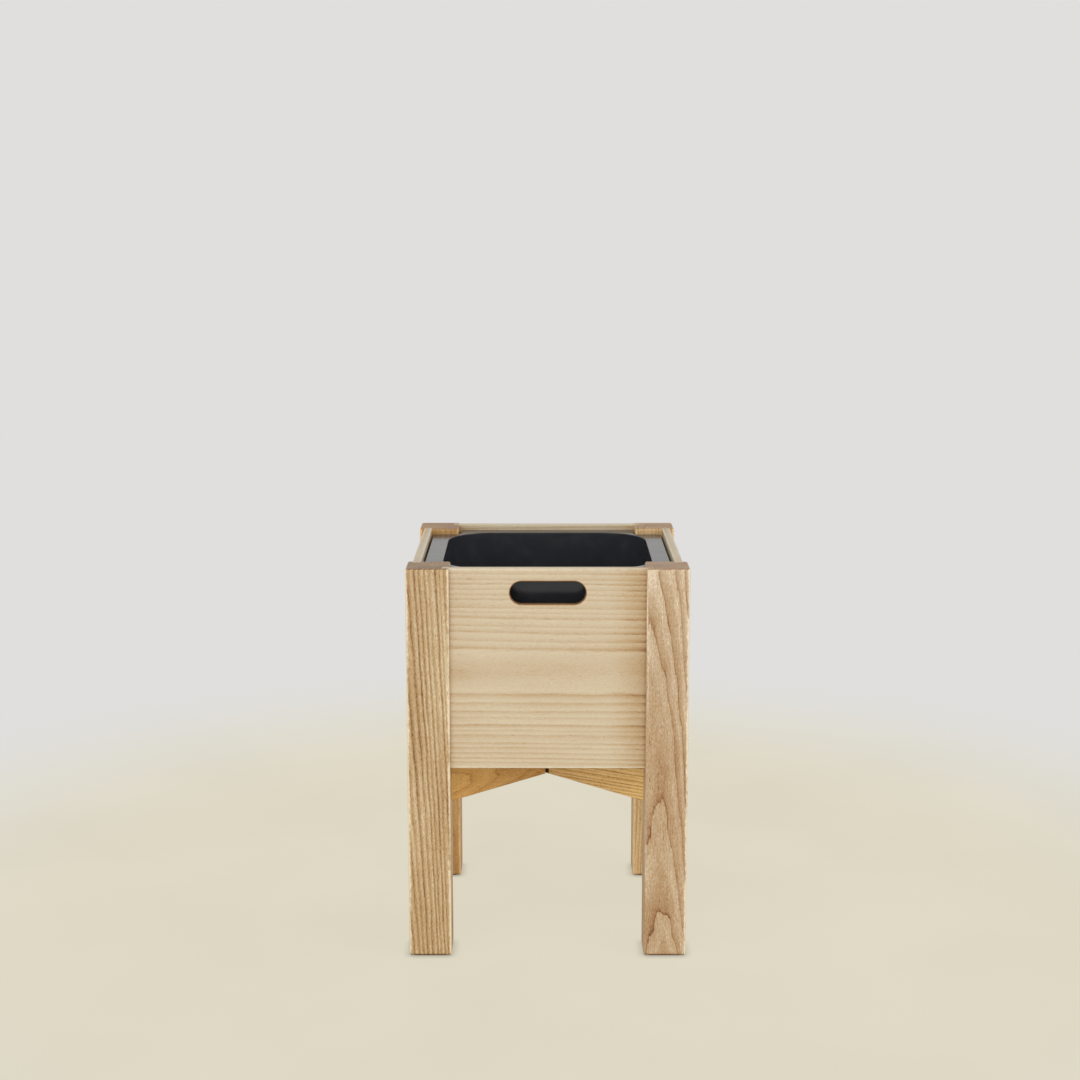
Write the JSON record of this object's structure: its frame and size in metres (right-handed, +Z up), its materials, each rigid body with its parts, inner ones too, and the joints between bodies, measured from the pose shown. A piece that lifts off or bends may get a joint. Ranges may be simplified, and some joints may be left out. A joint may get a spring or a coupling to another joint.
{
  "type": "wooden planter",
  "caption": "Square floor planter: full-height square ash legs, recessed panels with hand slots, crossed rails below and a black liner that lifts out.",
  "frame": {"origin": "on the floor, at the middle of the four legs", "axes": "+Z up, +X to the right seen from the front, +Y from the front towards the back; a panel with a hand slot faces -Y"},
  "size_m": [0.4, 0.4, 0.571],
  "materials": {
    "ash_leg": "clear matt lacquer on pale ash, open grain",
    "ash_panel": "clear matt lacquer on pale ash, fine straight grain",
    "ash_rail": "clear matt lacquer on ash",
    "birch_board": "sanded plywood, clear sealed",
    "beech_dowel": "bare beech",
    "screw_steel": "zinc plated",
    "pad_rubber": "dull dark rubber sheet",
    "liner_plastic": "gloss black"
  },
  "bodies": {
    "planter": {"leg_back_right": "ash_leg", "leg_back_left": "ash_leg", "leg_front_left": "ash_leg", "leg_front_right": "ash_leg", "foot_pad_back_right": "pad_rubber", "foot_pad_back_left": "pad_rubber", "foot_pad_front_left": "pad_rubber", "foot_pad_front_right": "pad_rubber", "front_panel": "ash_panel", "right_panel": "ash_panel", "back_panel": "ash_panel", "left_panel": "ash_panel", "rail_upper_lap": "ash_rail", "rail_lower_lap": "ash_rail", "rail_dowels": "beech_dowel", "bottom_board": "birch_board", "board_screws": "screw_steel"},
    "liner": {"liner": "liner_plastic"}
  },
  "joints": [
    {"name": "liner_lift", "type": "slide", "parent": "planter", "child": "liner", "axis": [0, 0, 1], "range_m": [0, 0.3]}
  ]
}
